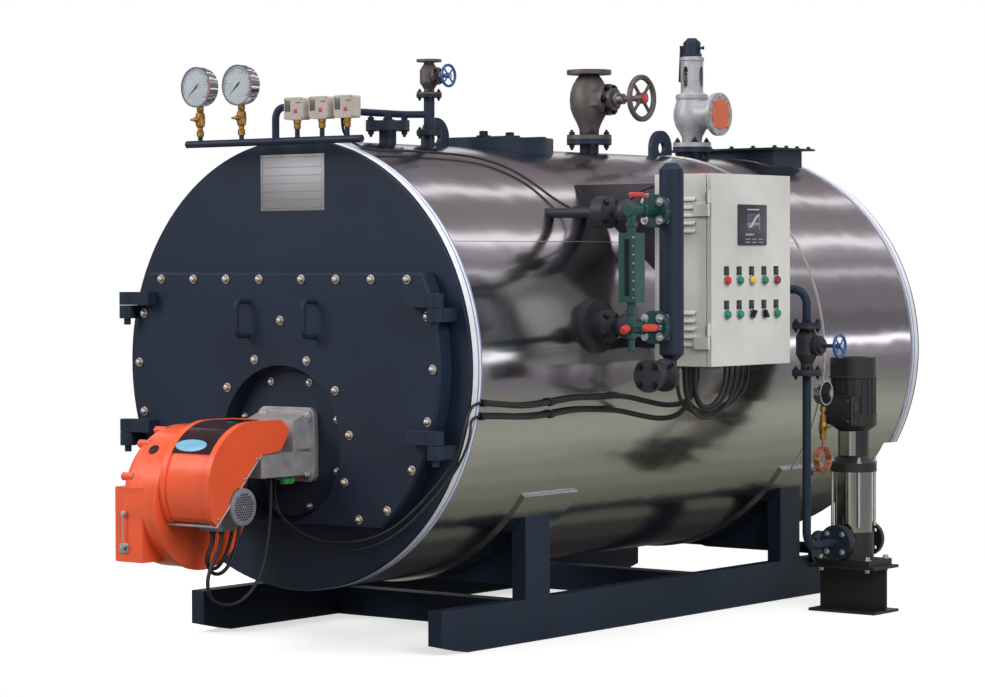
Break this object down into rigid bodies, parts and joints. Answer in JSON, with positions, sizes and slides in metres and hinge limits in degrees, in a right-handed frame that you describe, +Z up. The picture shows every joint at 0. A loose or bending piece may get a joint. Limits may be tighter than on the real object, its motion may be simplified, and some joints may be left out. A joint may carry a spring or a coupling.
{
  "type": "horizontal fire-tube steam boiler",
  "caption": "Horizontal fire-tube steam boiler on a steel skid, with a forced-draught burner on its hinged front door, steam fittings, level gauge, control cabinet and feed pump.",
  "frame": {"origin": "on the floor under the drum's axis, at the middle of the front cross member's underside", "axes": "+X to the right of someone facing the burner end, +Y back along the drum, +Z up"},
  "size_m": [2.094, 3.729, 2.378],
  "materials": {
    "navy_paint": "satin paint",
    "bright_sheet": "bright stainless sheet",
    "orange_paint": "gloss enamel",
    "grey_cast": "as-cast, satin",
    "cabinet_grey": "fine powder coat",
    "panel_parts": "moulded",
    "gauge_case": "polished bezel, white dial",
    "switch_case": "moulded",
    "cast_iron": "as-cast, oiled",
    "wheel_blue": "gloss enamel",
    "lever_red": "gloss enamel",
    "gauge_green": "gloss enamel",
    "valve_silver": "aluminium paint",
    "pump_black": "satin paint",
    "cable_black": "matt sheath"
  },
  "bodies": {
    "boiler": {"left_rail": "navy_paint", "right_rail": "navy_paint", "cross_members": "navy_paint", "front_saddle": "navy_paint", "rear_saddle": "navy_paint", "drum": "navy_paint", "smokebox": "navy_paint", "front_plate": "navy_paint", "jacket": "bright_sheet", "rear_plate": "navy_paint", "hinge_lugs": "navy_paint", "manifold": "navy_paint", "pressure_gauges": "gauge_case", "pressure_switches": "switch_case", "spare_nozzle": "navy_paint", "front_lug": "navy_paint", "rear_lug": "navy_paint", "vent_valve": "cast_iron", "manhole_collar": "navy_paint", "manhole_cover": "navy_paint", "steam_valve": "cast_iron", "safety_valve": "valve_silver", "safety_cap": "navy_paint", "flue_box": "navy_paint", "level_column": "navy_paint", "level_branches": "cast_iron", "gauge_cocks": "gauge_green", "gauge_glass": "gauge_green", "drain_valve": "cast_iron", "cabinet": "cabinet_grey", "cabinet_brackets": "navy_paint", "feed_pipe": "navy_paint", "feed_valve": "cast_iron", "feed_gauge": "gauge_case", "pump_stand": "pump_black", "pump_base": "pump_black", "pump_sleeve": "bright_sheet", "pump_head": "pump_black", "pump_motor": "pump_black", "blow_down_pipe": "navy_paint", "jacket_conduits": "cable_black", "cabinet_cables": "cable_black"},
    "door": {"front_door": "navy_paint", "door_hinges": "navy_paint", "door_handles": "navy_paint", "burner_plate": "navy_paint", "burner_head": "grey_cast", "blast_tube": "bright_sheet", "fan_housing": "orange_paint", "fan_motor": "grey_cast", "burner_hood": "orange_paint", "burner_leads": "cable_black", "burner_cables": "cable_black"},
    "steam_handwheel": {"steam_wheel": "cast_iron"},
    "vent_handwheel": {"vent_wheel": "wheel_blue"},
    "feed_handwheel": {"feed_wheel": "wheel_blue"},
    "cabinet_leaf": {"cabinet_door": "cabinet_grey", "panel_controls": "panel_parts"},
    "upper_cock_lever": {"upper_lever": "lever_red"},
    "lower_cock_lever": {"lower_lever": "lever_red"}
  },
  "joints": [
    {"name": "front_door_hinge", "type": "hinge", "parent": "boiler", "child": "door", "pos_m": [0.75, -1.025, 1.01], "axis": [0, 0, 1], "range_deg": [0, 110], "deforming": ["burner_leads"]},
    {"name": "cabinet_door_hinge", "type": "hinge", "parent": "boiler", "child": "cabinet_leaf", "pos_m": [1.24, -0.051, 1.378], "axis": [0, 0, -1], "range_deg": [0, 110]},
    {"name": "steam_wheel_turn", "type": "hinge", "parent": "boiler", "child": "steam_handwheel", "pos_m": [0.265, 0.92, 2.078], "axis": [1, 0, 0], "range_deg": [0, 1890]},
    {"name": "vent_wheel_turn", "type": "hinge", "parent": "boiler", "child": "vent_handwheel", "pos_m": [0.17, -0.223, 2.12], "axis": [1, 0, 0], "range_deg": [0, 1170]},
    {"name": "feed_wheel_turn", "type": "hinge", "parent": "boiler", "child": "feed_handwheel", "pos_m": [1.212, 0.91, 1.079], "axis": [1, 0, 0], "range_deg": [0, 1170]},
    {"name": "upper_cock_turn", "type": "hinge", "parent": "boiler", "child": "upper_cock_lever", "pos_m": [1.16, -0.329, 1.6435], "axis": [0, 0, 1], "range_deg": [0, 90]},
    {"name": "lower_cock_turn", "type": "hinge", "parent": "boiler", "child": "lower_cock_lever", "pos_m": [1.2115, -0.329, 1.174], "axis": [1, 0, 0], "range_deg": [0, 90]}
  ]
}
